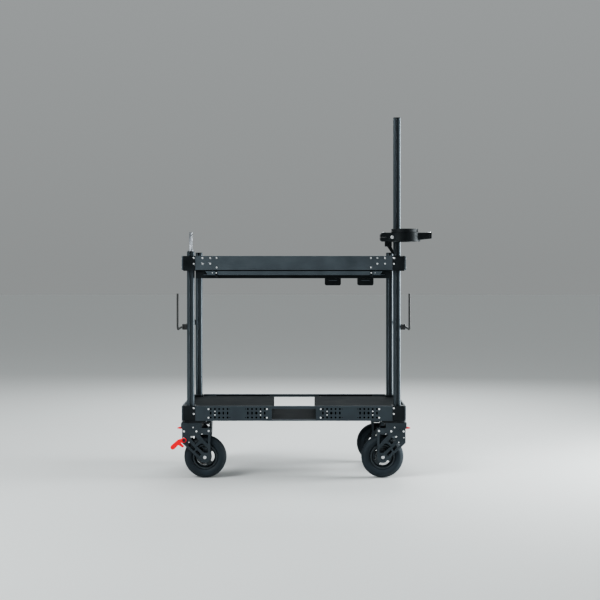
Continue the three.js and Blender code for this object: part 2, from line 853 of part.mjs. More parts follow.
// Swivel head: top plate, bearing cup and the kingpin with its nut
function swivelHead() {
  const pinFloor = forkTop - crownHeight - seatGap;
  return surface(joined(
    block(-headPlateHalfX, headPlateHalfX, -headPlateHalfY, headPlateHalfY, headPlateFloor,
      headTop),
    upright(bearingRadius, headBottom, headPlateFloor + overrun, 24),
    upright(kingpinRadius, pinFloor - kingNutHeight / 2, headBottom + overrun),
    upright(kingNutRadius, pinFloor - kingNutHeight, pinFloor),
  ));
}

// Swivel lock: a flat tab with a wedge end that slides in the fork's housing
function swivelLock() {
  const end = lockTabLength / 2;
  const neck = end - lockTabPoint;
  const shape = outline([
    [-end, 0], [neck, 0], [end, lockTabHeight / 3], [end, lockTabHeight / 2],
    [neck, lockTabHeight], [-end, lockTabHeight],
  ]);
  return carried(shape, -lockTabHalf, lockTabHalf);
}

// Casters: the rear left one is turned a quarter, and the front left brake is down
const forkTurns = { fl: 180, fr: 0, rl: 90, rr: 0 };
const brakesDown = ["fl"];

for (const corner of corners) {
  const x = corner.sideX * (postX - casterInsetX);
  const y = corner.sideY * (postY - casterInsetY);
  const prefix = `caster_${corner.short}`;
  const head = new THREE.Group();
  head.position.set(x, y, 0);
  head.rotation.z = corner.sideX > 0 ? 0 : Math.PI;
  place(`${prefix}_swivel_head`, swivelHead(), blackPowder(), head);
  const swivel = new THREE.Group();
  swivel.position.set(x, y, 0);
  swivel.rotation.z = toRadians(forkTurns[corner.short]);
  place(`${prefix}_fork`, fork(), blackPowder(), swivel);
  const wheelParts = [
    place(`${prefix}_axle`, axle(), brightSteel(), swivel),
    place(`${prefix}_rim`, rim(), blackPowder(), swivel),
    place(`${prefix}_tyre`, tyre(), rubberBlack(), swivel),
  ];
  for (const piece of wheelParts) {
    piece.position.set(-casterTrail, 0, axleHeight);
  }
  const brake = place(`${prefix}_brake_lever`, brakeLever(), brakeRed(), swivel);
  brake.position.set(brakePivotLead, 0, brakePivotHeight);
  const lock = place(`${prefix}_swivel_lock`, swivelLock(), brakeRed(), swivel);
  lock.position.set(lockHousingLead, 0, lockSlotFloor + seatGap);
  brake.rotation.y = brakesDown.includes(corner.short) ? 0 : -toRadians(brakeReleaseAngle);
  cart.add(head, swivel);
}

// The origin is the middle of the footprint, on the floor
const extent = new THREE.Box3().setFromObject(cart);
const middle = extent.getCenter(new THREE.Vector3());
cart.position.set(-middle.x, -middle.y, -extent.min.z);
cart.updateMatrixWorld(true);

export default cart;
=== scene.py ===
"""A rolling camera cart: slotted posts, two trays, a slide-out tray and air-tyred casters."""

import json
import math

import bmesh
import bpy
import numpy as np
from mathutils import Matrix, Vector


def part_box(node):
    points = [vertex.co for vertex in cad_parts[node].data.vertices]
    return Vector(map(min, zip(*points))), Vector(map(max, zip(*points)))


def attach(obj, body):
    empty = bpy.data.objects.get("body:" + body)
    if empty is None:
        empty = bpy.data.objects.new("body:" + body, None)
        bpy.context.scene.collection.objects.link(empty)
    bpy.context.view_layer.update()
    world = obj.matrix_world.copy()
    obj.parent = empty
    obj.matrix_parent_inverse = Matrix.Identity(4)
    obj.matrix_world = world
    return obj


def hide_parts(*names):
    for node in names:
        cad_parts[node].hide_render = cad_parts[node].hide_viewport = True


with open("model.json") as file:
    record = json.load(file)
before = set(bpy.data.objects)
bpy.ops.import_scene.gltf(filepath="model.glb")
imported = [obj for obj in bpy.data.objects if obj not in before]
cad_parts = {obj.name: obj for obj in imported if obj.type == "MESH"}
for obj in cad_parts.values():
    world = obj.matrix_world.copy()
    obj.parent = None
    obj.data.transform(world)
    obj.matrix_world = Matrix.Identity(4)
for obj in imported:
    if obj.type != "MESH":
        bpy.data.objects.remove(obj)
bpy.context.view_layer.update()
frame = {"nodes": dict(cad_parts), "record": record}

# The studio: a pale floor under grey air, a broad soft key from the left, a
# tall strip on the right and a light behind, seen from the front at chest height.
eye = bpy.data.cameras.new("studio_eye")
eye.sensor_width = 36.0
eye.lens = 80.4
eye.shift_y = -0.0571
eye_stand = bpy.data.objects.new("studio_eye", eye)
eye_stand.location = (0.0, -6.49, 1.0)
eye_stand.rotation_euler = (math.radians(90.0), 0.0, 0.0)
bpy.context.collection.objects.link(eye_stand)
bpy.context.scene.camera = eye_stand

floor_reach = 40.0
floor_level = -0.0005
floor_corners = [
    (x * floor_reach, y * floor_reach, floor_level)
    for x, y in ((-1, -1), (1, -1), (1, 1), (-1, 1))
]
floor_mesh = bpy.data.meshes.new("studio_floor")
floor_mesh.from_pydata(floor_corners, [], [(0, 1, 2, 3)])
floor = bpy.data.objects.new("studio_floor", floor_mesh)
bpy.context.collection.objects.link(floor)
floor_paint = bpy.data.materials.new("floor_paint")
floor_paint.use_nodes = True
floor_shader = floor_paint.node_tree.nodes["Principled BSDF"]
floor_shader.inputs["Base Color"].default_value = (0.70, 0.71, 0.70, 1.0)
floor_shader.inputs["Roughness"].default_value = 0.7
floor_mesh.materials.append(floor_paint)

air = bpy.data.worlds.new("studio_air")
air.use_nodes = True
backdrop = air.node_tree.nodes["Background"]
backdrop.inputs["Strength"].default_value = 0.48
direction = air.node_tree.nodes.new("ShaderNodeTexCoord")
height = air.node_tree.nodes.new("ShaderNodeSeparateXYZ")
shade = air.node_tree.nodes.new("ShaderNodeValToRGB")
shade.color_ramp.elements[0].position = 0.0
shade.color_ramp.elements[0].color = (0.56, 0.585, 0.585, 1.0)
shade.color_ramp.elements[1].position = 0.5
shade.color_ramp.elements[1].color = (0.80, 0.84, 0.85, 1.0)
air.node_tree.links.new(direction.outputs["Generated"], height.inputs["Vector"])
air.node_tree.links.new(height.outputs["Z"], shade.inputs["Fac"])
air.node_tree.links.new(shade.outputs["Color"], backdrop.inputs["Color"])
bpy.context.scene.world = air
bpy.context.scene.view_settings.view_transform = "AgX"
bpy.context.scene.view_settings.look = "AgX - Medium High Contrast"


def soft_light(name, place, aim, wide, tall, watts):
    """A flat lamp whose -Z axis points from its place to the aim."""
    lamp = bpy.data.lights.new(name, "AREA")
    lamp.shape = "RECTANGLE"
    lamp.size = wide
    lamp.size_y = tall
    lamp.energy = watts
    lamp.color = (0.94, 0.985, 1.0)
    stand = bpy.data.objects.new(name, lamp)
    stand.visible_camera = False
    stand.location = place
    away = np.array(place, float) - np.array(aim, float)
    turn = math.atan2(away[1], away[0]) + math.pi / 2
    tilt = math.atan2(math.hypot(away[0], away[1]), away[2])
    stand.rotation_euler = (tilt, 0.0, turn)
    bpy.context.collection.objects.link(stand)


soft_light("key_light", (-3.2, -3.0, 3.6), (0.0, 0.0, 0.8), wide=2.2, tall=2.2, watts=215.0)
soft_light("strip_light", (3.0, 0.0, 1.25), (0.0, 0.0, 1.25), wide=1.5, tall=2.3, watts=180.0)
soft_light("back_light", (0.4, 3.8, 3.2), (0.0, 0.0, 1.0), wide=2.2, tall=2.2, watts=110.0)

# Posts: black anodised aluminium extrusion with a T slot in each face. The
# front right one is the mast, and each free end has a thin plastic cap.


def grained(name, dark, light, rough, along=(1.0, 1.0, 1.0), grain=900.0, depth=0.00002,
            metal=0.55, shine=0.5):
    """A coat of metal, paint, plastic or rubber: a slow noise drifts between two tones and
    shifts the roughness, and a fine noise, stretched by the scale along each axis, gives the
    die lines or the grain."""
    coat = bpy.data.materials.new(name)
    coat.use_nodes = True
    nodes, links = coat.node_tree.nodes, coat.node_tree.links
    shader = nodes["Principled BSDF"]
    shader.inputs["Metallic"].default_value = metal
    shader.inputs["Specular IOR Level"].default_value = shine
    place = nodes.new("ShaderNodeTexCoord")
    stretch = nodes.new("ShaderNodeMapping")
    stretch.inputs["Scale"].default_value = along
    links.new(place.outputs["Object"], stretch.inputs["Vector"])
    drift = nodes.new("ShaderNodeTexNoise")
    drift.inputs["Scale"].default_value = 14.0
    drift.inputs["Detail"].default_value = 6.0
    links.new(stretch.outputs["Vector"], drift.inputs["Vector"])
    tone = nodes.new("ShaderNodeValToRGB")
    tone.color_ramp.elements[0].position = 0.3
    tone.color_ramp.elements[0].color = (*dark, 1.0)
    tone.color_ramp.elements[1].position = 0.72
    tone.color_ramp.elements[1].color = (*light, 1.0)
    links.new(drift.outputs["Fac"], tone.inputs["Fac"])
    links.new(tone.outputs["Color"], shader.inputs["Base Color"])
    smoothest, roughest = rough - 0.06, rough + 0.08
    polish = nodes.new("ShaderNodeMapRange")
    polish.inputs["From Min"].default_value = 0.3
    polish.inputs["From Max"].default_value = 0.7
    polish.inputs["To Min"].default_value = smoothest
    polish.inputs["To Max"].default_value = roughest
    links.new(drift.outputs["Fac"], polish.inputs["Value"])
    links.new(polish.outputs["Result"], shader.inputs["Roughness"])
    fine = nodes.new("ShaderNodeTexNoise")
    fine.inputs["Scale"].default_value = grain
    fine.inputs["Detail"].default_value = 3.0
    links.new(stretch.outputs["Vector"], fine.inputs["Vector"])
    relief = nodes.new("ShaderNodeBump")
    relief.inputs["Strength"].default_value = 0.6
    relief.inputs["Distance"].default_value = depth
    links.new(fine.outputs["Fac"], relief.inputs["Height"])
    links.new(relief.outputs["Normal"], shader.inputs["Normal"])
    return coat


def made(name, points, faces, coat, slot, body, sharp=35.0):
    """A new piece from corner points and faces: doubles merged so that seams and poles close,
    faces turned outwards, and edges kept crisp above the sharp angle."""
    mesh = bpy.data.meshes.new(name)
    mesh.from_pydata(np.asarray(points, float).reshape(-1, 3).tolist(), [], faces)
    shell = bmesh.new()
    shell.from_mesh(mesh)
    bmesh.ops.remove_doubles(shell, verts=shell.verts, dist=0.000002)
    bmesh.ops.recalc_face_normals(shell, faces=shell.faces)
    shell.to_mesh(mesh)
    shell.free()
    mesh.shade_smooth()
    mesh.set_sharp_from_angle(angle=math.radians(sharp))
    mesh.materials.append(coat)
    piece = bpy.data.objects.new(name, mesh)
    bpy.context.collection.objects.link(piece)
    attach(piece, body)
    return piece


def bar_faces(bars, sides):
    """Faces of closed bars, each of two rings of corners: a quad between each pair of
    neighbours and an end face on both rings."""
    here = np.arange(sides)
    after = (here + 1) % sides
    faces = []
    for start in range(0, bars * 2 * sides, 2 * sides):
        faces += (np.stack([here, after, after + sides, here + sides], axis=1) + start).tolist()
        faces += [(here[::-1] + start).tolist(), (here + sides + start).tolist()]
    return faces


def drawn_bar(section, low, high):
    """A flat outline lifted from one height to another, as a ring of corners at each height."""
    rings = np.zeros((2, len(section), 3))
    rings[:, :, :2] = section
    rings[0, :, 2] = low
    rings[1, :, 2] = high
    return rings.reshape(-1, 3), bar_faces(1, len(section))


def box_corners(node):
    """The lowest and the highest corner of the node's solid, each as an array."""
    return tuple(np.array(corner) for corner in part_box(node))


def flat_corners(low, high):
    """The corners of a flat rectangle between two opposite corners, one after another."""
    return np.array([(low[0], low[1]), (high[0], low[1]), (high[0], high[1]), (low[0], high[1])])


def cut_corner(half, cut, radius):
    """Points of one bevelled corner of a square: an eighth of a circle, the straight bevel and
    another eighth, so that the bevel runs smoothly into the +X and the +Y face."""
    turn = np.linspace(0.0, math.pi / 4, 4)
    start = half - cut - radius * math.tan(math.pi / 8)
    first = np.stack(
        [half - radius + radius * np.cos(turn), start + radius * np.sin(turn)], axis=1)
    return np.vstack([first, first[::-1, ::-1]])


def four_sides(quarter):
    """A quarter outline repeated at 0, 90, 180 and 270 degrees."""
    turn = np.arange(4) * math.pi / 2
    x = np.outer(np.cos(turn), quarter[:, 0]) - np.outer(np.sin(turn), quarter[:, 1])
    y = np.outer(np.sin(turn), quarter[:, 0]) + np.outer(np.cos(turn), quarter[:, 1])
    return np.stack([x.ravel(), y.ravel()], axis=1)


post_half = 0.017
post_bevel = 0.0045
post_radius = 0.003
post_cap = 0.0022
cap_seam = 0.0001
post_outer_corner = cut_corner(post_half, post_bevel, post_radius)
slot_side = np.array([
    [post_half, -0.0054], [post_half - 0.0006, -0.0048], [post_half - 0.0024, -0.0048],
    [post_half - 0.0024, -0.0078], [post_half - 0.0052, -0.0078], [post_half - 0.0086, -0.0044],
])
slot_quarter = np.vstack([
    slot_side, (slot_side * [1.0, -1.0])[::-1], post_outer_corner,
])
post_coat = grained("post_anodised", (0.050, 0.062, 0.072), (0.076, 0.092, 0.105),
                    rough=0.34, along=(1.0, 1.0, 0.02))
cap_coat = grained("cap_plastic", (0.012, 0.013, 0.014), (0.02, 0.021, 0.022),
                   rough=0.55, metal=0.0)

body_holding = {
    node: body
    for body, nodes in frame["record"]["behaviour"]["bodies"].items()
    for node in nodes
}
for node in ("post_front_left", "mast_post_front_right", "post_rear_left", "post_rear_right"):
    low, high = box_corners(node)
    middle = (low + high)[:2] / 2
    bar = drawn_bar(four_sides(slot_quarter) + middle, low[2], high[2] - post_cap)
    post = made(f"{node}_slotted", *bar, post_coat, "post_black", body_holding[node])
    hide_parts(node)
    cap_edge = four_sides(post_outer_corner) + middle
    cap = made(f"{node}_cap", *drawn_bar(cap_edge, high[2] - post_cap + cap_seam, high[2]),
               cap_coat, "lever_black", body_holding[node])
    rounding = cap.modifiers.new("rounding", "BEVEL")
    rounding.width = 0.0008
    rounding.segments = 2

# Corner blocks: machined black aluminium blocks that clamp the posts, with
# broken edges and bright socket-head screws in their faces.


def finished(node, coat, edge, steps=2, angle=35.0):
    """A copy of the node's solid with its corners merged and its flat faces made whole,
    its edges rounded by the given width, standing for the node."""
    shape = frame["nodes"][node].data.copy()
    shape.name = f"{node}_finished"
    shell = bmesh.new()
    shell.from_mesh(shape)
    bmesh.ops.remove_doubles(shell, verts=shell.verts, dist=0.000005)
    bmesh.ops.dissolve_limit(
        shell, angle_limit=math.radians(0.6), verts=shell.verts, edges=shell.edges)
    shell.to_mesh(shape)
    shell.free()
    shape.shade_smooth()
    shape.set_sharp_from_angle(angle=math.radians(angle))
    shape.materials.clear()
    shape.materials.append(coat)
    piece = bpy.data.objects.new(f"{node}_finished", shape)
    bpy.context.collection.objects.link(piece)
    rounding = piece.modifiers.new("rounding", "BEVEL")
    rounding.limit_method = "ANGLE"
    rounding.angle_limit = math.radians(angle)
    rounding.width = edge
    rounding.segments = steps
    rounding.harden_normals = True
    rounding.use_clamp_overlap = True
    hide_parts(node)
    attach(piece, body_holding[node])
    return piece


steel_coat = grained("bright_steel", (0.80, 0.81, 0.82), (0.93, 0.93, 0.94),
                     rough=0.36, grain=400.0, metal=1.0)


def facing_axes(facing):
    """Three unit rows, the last along the facing direction."""
    out = np.array(facing, float)
    out /= np.linalg.norm(out)
    helper = np.array([0.0, 0.0, 1.0]) if abs(out[2]) < 0.9 else np.array([1.0, 0.0, 0.0])
    across = np.cross(helper, out)
    across /= np.linalg.norm(across)
    return np.array([across, np.cross(out, across), out])


def ring_quads(here):
    """Quads between neighbouring rows of numbered corners, each row a closed ring."""
    after = np.roll(here, -1, axis=1)
    return np.stack([here[:-1], after[:-1], after[1:], here[1:]], axis=-1).reshape(-1, 4)


def screws(name, places, facing, body, radius, height, sink=0.001, coat=steel_coat,
           slot="steel_bright"):
    """Socket-head screws in one piece. Each is a ring profile turned round its axis, in which
    the socket's rings follow a hexagon: cos 30 over cos of the angle from the nearest flat.
    Each foot reaches into its piece by the sink."""
    turn = np.arange(24) * (2 * math.pi / 24)
    flat = math.cos(math.pi / 6) / np.cos(np.mod(turn, math.pi / 3) - math.pi / 6)
    plain = np.ones_like(turn)
    reach = np.stack([
        0.0 * plain, 1.0 * plain, 1.0 * plain, 0.86 * plain, 0.56 * flat, 0.54 * flat, 0.0 * flat])
    rise = np.array([-sink, -sink, 0.82 * height, height, height, 0.35 * height, 0.35 * height])
    local = np.stack([
        radius * reach * np.cos(turn), radius * reach * np.sin(turn),
        np.broadcast_to(rise[:, None], reach.shape)], axis=-1)
    heads = local @ facing_axes(facing)
    points = np.array(places, float)[:, None, None, :] + heads[None]
    quads = ring_quads(np.arange(reach.size).reshape(reach.shape))
    faces = (quads[None] + (np.arange(len(places)) * reach.size)[:, None, None]).reshape(-1, 4)
    return made(name, points, faces.tolist(), coat, slot, body, sharp=30.0)


block_coat = grained("block_anodised", (0.007, 0.009, 0.010), (0.014, 0.018, 0.021),
                     rough=0.42, metal=0.3, shine=0.25)
corner_names = ("front_left", "front_right", "rear_left", "rear_right")
block_screw_inset = 0.0062
block_screw_drops = {"top": (0.0095, 0.0365), "bottom": (0.0105, 0.0375)}
for tray in ("top", "bottom"):
    for corner in corner_names:
        node = f"{tray}_corner_{corner}"
        finished(node, block_coat, edge=0.0016, steps=3)
        low, high = box_corners(node)
        right = corner.endswith("right")
        front = corner.startswith("front")
        inner = low[0] + block_screw_inset if right else high[0] - block_screw_inset
        face = low[1] if front else high[1]
        spots = [(inner, face, high[2] - drop) for drop in block_screw_drops[tray]]
        screws(f"{node}_screws", spots, (0, -1 if front else 1, 0), "cart_frame",
               radius=0.0044, height=0.0022)

# Tray rails: slate-grey powder-coated aluminium. The lower ones carry two
# pierced plates each, on either side of an open bay.
rail_coats = {
    "top": grained("rail_powder_coat", (0.044, 0.056, 0.066), (0.060, 0.075, 0.087),
                   rough=0.46, grain=1500.0, depth=0.00004, metal=0.25),
    # The lower rails' coat is the same powder coat in darker tones: painted shade on the lower
    # tray.
    "bottom": grained("low_rail_painted_shade_coat", (0.026, 0.036, 0.044), (0.037, 0.050, 0.060),
                      rough=0.48, grain=1500.0, depth=0.00004, metal=0.25),
}


def drill_pegs(places, radius, tall, low, high, sides=20):
    """Pegs along Y for cutting holes: one circle of corners at each end of every peg, whose
    upper and lower halves are drawn apart by the given height to make a slot."""
    turn = np.arange(sides) * (2 * math.pi / sides)
    turn = turn + turn[1] / 2
    size = np.broadcast_to(np.array(radius, float), (len(places),))[:, None]
    apart = np.broadcast_to(np.array(tall, float), (len(places),))[:, None]
    rise = size * np.sin(turn) + apart * np.sign(np.sin(turn))
    ring = np.stack([size * np.cos(turn), np.zeros_like(rise), rise], axis=-1)
    spots = np.array([[x, 0.0, z] for x, z in places])[:, None]
    near = spots + ring + [0.0, low, 0.0]
    far = spots + ring + [0.0, high, 0.0]
    return np.stack([near, far], axis=1).reshape(-1, 3), bar_faces(len(places), sides)


def cut_by(piece, points, faces, wall_coat=None):
    """Takes a closed cutter out of the piece's own mesh and throws the cutter away. The walls
    that it leaves take the wall coat where one is given."""
    mesh = bpy.data.meshes.new("cutter")
    mesh.from_pydata(np.asarray(points, float).reshape(-1, 3).tolist(), [], faces)
    shell = bmesh.new()
    shell.from_mesh(mesh)
    bmesh.ops.recalc_face_normals(shell, faces=shell.faces)
    shell.to_mesh(mesh)
    shell.free()
    cutter = bpy.data.objects.new("cutter", mesh)
    bpy.context.collection.objects.link(cutter)
    rest = [modifier.name for modifier in piece.modifiers]
    shown = {name: piece.modifiers[name].show_viewport for name in rest}
    for name in rest:
        piece.modifiers[name].show_viewport = False
    cut = piece.modifiers.new("cut", "BOOLEAN")
    cut.operation = "DIFFERENCE"
    cut.solver = "EXACT"
    if wall_coat:
        mesh.materials.append(wall_coat)
        cut.material_mode = "TRANSFER"
    cut.object = cutter
    bpy.context.view_layer.update()
    graph = bpy.context.evaluated_depsgraph_get()
    result = bpy.data.meshes.new_from_object(piece.evaluated_get(graph))
    piece.modifiers.remove(cut)
    old = piece.data
    result.name = old.name
    piece.data = result
    bpy.data.meshes.remove(old)
    result.shade_smooth()
    result.set_sharp_from_angle(angle=math.radians(35.0))
    for name in rest:
        piece.modifiers[name].show_viewport = shown[name]
    bpy.data.objects.remove(cutter)
    bpy.data.meshes.remove(mesh)


# A near-black matte coat of painted shade: it covers the walls of the rail holes and the sheets
# behind them, so that the holes read dark.
painted_shade_coat = grained("painted_shade_black", (0.002, 0.0025, 0.003), (0.003, 0.004, 0.005),
                     rough=0.9, metal=0.0, shine=0.0)
tray_x = -0.029
upper_drop, middle_drop, lower_drop = 0.0142, 0.0335, 0.0543
hole_rows = [
    # columns, drops, radius, half the height added to make a slot
    ((0.1365, 0.1562, 0.1758, 0.196, 0.2158, 0.3108, 0.3308, 0.3504, 0.3702, 0.39),
     (upper_drop, lower_drop), 0.0045, 0.0),
    ((0.2265, 0.3003), (upper_drop, lower_drop), 0.0021, 0.0),
    ((0.1365, 0.196, 0.2158, 0.3108, 0.3308, 0.39), (middle_drop,), 0.0036, 0.0034),
    ((0.1758, 0.3504), (middle_drop,), 0.0056, 0.0008),
    ((0.1562, 0.3702), (middle_drop,), 0.0042, 0.0),
    ((0.186, 0.206, 0.3206, 0.3408), (middle_drop,), 0.0017, 0.0),
]
holes = [(x, drop, radius, tall) for columns, drops, radius, tall in hole_rows
         for x in columns for drop in drops]
top_rail_screws = (
    # distance from the tray's middle, height
    (0.428, 1.0365), (0.428, 1.0095), (0.392, 1.0365), (0.392, 1.0095), (0.362, 1.0365),
    (0.362, 0.992))
peg_reach = 0.012
rail_wall = 0.0063
painted_shade_wall = 0.001
painted_shade_ends = (0.1265, 0.4)
painted_shade_span = (0.2770, 0.3375)
small_columns, small_drops = (0.1562, 0.3702), (0.0256, 0.0420)
plate_columns, plate_drops = (0.1262, 0.4005), (0.0148, 0.0552)
side_screw_inset = 0.013
side_screw_rows = (-0.19, -0.165, 0.345, 0.37)
middle_screw_drop = 0.018
middle_screw_rows = (-0.03, 0.09, 0.21)
for tray in ("top", "bottom"):
    for side in ("front", "rear"):
        node = f"{tray}_rail_{side}"
        rail = finished(node, rail_coats[tray], edge=0.0007)
        low, high = box_corners(node)
        face = low[1] if side == "front" else high[1]
        out = -1 if side == "front" else 1
        if tray == "top":
            spots = [(tray_x + way * x, face, z) for way in (-1, 1) for x, z in top_rail_screws]
        else:
            places = [(tray_x + way * x, high[2] - drop) for way in (-1, 1)
                      for x, drop, _, _ in holes]
            pegs = drill_pegs(places, [hole[2] for hole in holes] * 2,
                              [hole[3] for hole in holes] * 2, face - peg_reach, face + peg_reach)
            # The hole walls take the painted shade coat.
            cut_by(rail, *pegs, wall_coat=painted_shade_coat)
            outside = face - out * rail_wall
            inside = outside - out * painted_shade_wall
            # Behind each side's holes stands a near-black sheet of painted shade, where the rail's
            # hollow is dark.
            for way, place in ((-1, "left"), (1, "right")):
                first, last = sorted(tray_x + way * end for end in painted_shade_ends)
                made(f"{node}_painted_shade_{place}",
                     *drawn_bar(flat_corners((first, outside), (last, inside)), *painted_shade_span),
                     painted_shade_coat, "deck_black", "cart_frame")
            small = [(tray_x + way * x, face, high[2] - drop) for way in (-1, 1)
                     for x in small_columns for drop in small_drops]
            screws(f"{node}_small_screws", small, (0, out, 0), "cart_frame",
                   radius=0.0029, height=0.0014)
            spots = [(tray_x + way * x, face, high[2] - drop) for way in (-1, 1)
                     for x in plate_columns for drop in plate_drops]
        screws(f"{node}_screws", spots, (0, out, 0), "cart_frame", radius=0.0042, height=0.002)
    for side in ("left", "right"):
        node = f"{tray}_rail_{side}"
        finished(node, rail_coats[tray], edge=0.0012)
        low, high = box_corners(node)
        face = low[0] if side == "left" else high[0]
        spots = [(face, y, z) for y in side_screw_rows
                 for z in (high[2] - side_screw_inset, low[2] + side_screw_inset)]
        spots += [(face, y, high[2] - middle_screw_drop) for y in middle_screw_rows]
        screws(f"{node}_screws", spots, (-1 if side == "left" else 1, 0, 0), "cart_frame",
               radius=0.0046, height=0.0018)

# Decks: folded black sheet with a hard-wearing textured coat, held down by a
# row of low screws along each edge.
deck_coat = grained("deck_texture_coat", (0.0055, 0.0075, 0.0085), (0.011, 0.014, 0.016),
                    rough=0.88, grain=700.0, depth=0.00025, metal=0.0, shine=0.1)
tray_y = 0.09
deck_tops = {"top": 1.037, "bottom": 0.333}
deck_screws = [(x, y) for x in (-0.4, -0.27, -0.135, 0.135, 0.27, 0.4) for y in (-0.268, 0.268)]
deck_screws += [(x, y) for x in (-0.507, 0.507) for y in (-0.12, 0.0, 0.12)]
for tray, top in deck_tops.items():
    finished(f"{tray}_deck", deck_coat, edge=0.0005)
    screws(f"{tray}_deck_screws", [(tray_x + x, tray_y + y, top) for x, y in deck_screws],
           (0, 0, 1), "cart_frame", radius=0.0045, height=0.0009, sink=0.0005,
           coat=cap_coat, slot="block_black")

# Slide-out tray in its cradle: a grey folded sheet with a pointed lip, run in
# two black grooved runners. Two small black pods hang from the front bar.
lip_coat = grained("tray_powder_coat", (0.058, 0.073, 0.085), (0.076, 0.094, 0.108),
                   rough=0.50, grain=1500.0, depth=0.00003)
finished("slide_tray", lip_coat, edge=0.0006)
finished("slide_cradle", block_coat, edge=0.0009)


def rounded_plate(name, low, high, coat, slot, body, edge):
    """A flat plate between two corner points, its four side edges and both faces rounded."""
    plate = made(
        name, *drawn_bar(flat_corners(low, high), low[2], high[2]), coat, slot, body)
    rounding = plate.modifiers.new("rounding", "BEVEL")
    rounding.width = edge
    rounding.segments = 3
    rounding.harden_normals = True
    return plate


plate_seat = 0.0004
tray_low, tray_high = box_corners("slide_tray")
lip_face = tray_low[1]
lip_middle = 0.9665
latch_reach, stop_reach = 0.3635, 0.3815
latch_half_width = 0.0046
latch_depth = 0.0042
latch_overhang = 0.0105
for way, side in ((-1, "left"), (1, "right")):
    x = tray_x + way * latch_reach
    rounded_plate(f"slide_latch_{side}",
                  (x - latch_half_width, lip_face - latch_depth, tray_low[2] - latch_overhang),
                  (x + latch_half_width, lip_face + plate_seat, tray_high[2] + 0.0002),
                  block_coat, "block_black", "slide_tray", edge=0.0012)
    screws(f"slide_latch_{side}_ring", [(x, lip_face - latch_depth, lip_middle)], (0, -1, 0),
           "slide_tray", radius=0.0032, height=0.0014, sink=0.0006)
    screws(f"slide_stop_{side}_screw", [(tray_x + way * stop_reach, lip_face, lip_middle)],
           (0, -1, 0), "slide_tray", radius=0.0022, height=0.001, sink=0.0006)
pod_coat = grained("pod_plastic", (0.0030, 0.0042, 0.0050), (0.0055, 0.0075, 0.0085),
                   rough=0.50, grain=1200.0, depth=0.00003, metal=0.0, shine=0.15)
pod_highlight_half_length = 0.0195
pod_highlight_thickness = 0.0008
pod_highlight_drops = (0.0112, 0.0092)
for node in ("undertray_pod_inner", "undertray_pod_outer"):
    finished(node, pod_coat, edge=0.0018, steps=3)
    low, high = box_corners(node)
    middle = (low + high)[0] / 2
    # Across each pod's slot runs a thin strip for the slot's lip. Its lighter slate coat is a
    # painted highlight of the lip.
    rounded_plate(f"{node}_slot_lip_highlight",
                  (middle - pod_highlight_half_length, low[1] - pod_highlight_thickness,
                   high[2] - pod_highlight_drops[0]),
                  (middle + pod_highlight_half_length, low[1] + plate_seat,
                   high[2] - pod_highlight_drops[1]),
                  rail_coats["top"], "rail_slate", body_holding[node], edge=0.0004)

# Stand hooks: a bent steel rod in satin black along each side of the cart,
# turned up at its front end, with two lugs screwed to the posts.
rod_coat = grained("rod_satin_black", (0.040, 0.041, 0.042), (0.062, 0.062, 0.062), rough=0.40)
post_reach = 0.486
lug_depth = 0.022
lug_screw_rise = 0.0225
lug_rows = (-0.17, 0.35)
for node, way in (("stand_hook_left", -1), ("stand_hook_right", 1)):
    finished(node, rod_coat, edge=0.0008, angle=42.0)
    low, high = box_corners(node)
    lug_face = tray_x + way * (post_reach + post_half + lug_depth)
    screws(f"{node}_screws", [(lug_face, y, low[2] + lug_screw_rise) for y in lug_rows],
           (way, 0, 0), "cart_frame", radius=0.0032, height=0.0016)

# Spigot: a turned steel stud with a catch groove, screwed into the top of the
# front left post.


def turned_skin(profile, base, facing, sides):
    """A profile of radius and height pairs turned round the axis through base: x and y are the
    radius times cosine and sine, and z is the height."""
    turn = np.arange(sides) * (2 * math.pi / sides)
    line = np.array(profile, float)
    local = np.stack([
        np.outer(line[:, 0], np.cos(turn)), np.outer(line[:, 0], np.sin(turn)),
        np.repeat(line[:, 1:], sides, axis=1)], axis=-1)
    points = local @ facing_axes(facing) + np.array(base, float)
    return points, ring_quads(np.arange(len(line) * sides).reshape(len(line), sides)).tolist()


satin_steel = grained("satin_steel", (0.24, 0.25, 0.27), (0.34, 0.35, 0.37),
                      rough=0.44, grain=1600.0, depth=0.000004, metal=1.0)
low, high = box_corners("light_spigot")
rise = high[2] - low[2]
stud_line = [
    (0, 0), (0.0132, 0), (0.014, 0.0008), (0.014, 0.0052), (0.0132, 0.006), (0.0084, 0.006),
    (0.008, 0.0066), (0.008, rise - 0.0165), (0.0065, rise - 0.015), (0.0065, rise - 0.0095),
    (0.008, rise - 0.008), (0.008, rise - 0.0012), (0.0068, rise), (0, rise)]
foot = ((low + high)[0] / 2, (low + high)[1] / 2, low[2])
stud = made("light_spigot_turned", *turned_skin(stud_line, foot, (0, 0, 1), sides=48),
            satin_steel, "steel_bright", "cart_frame")
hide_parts("light_spigot")

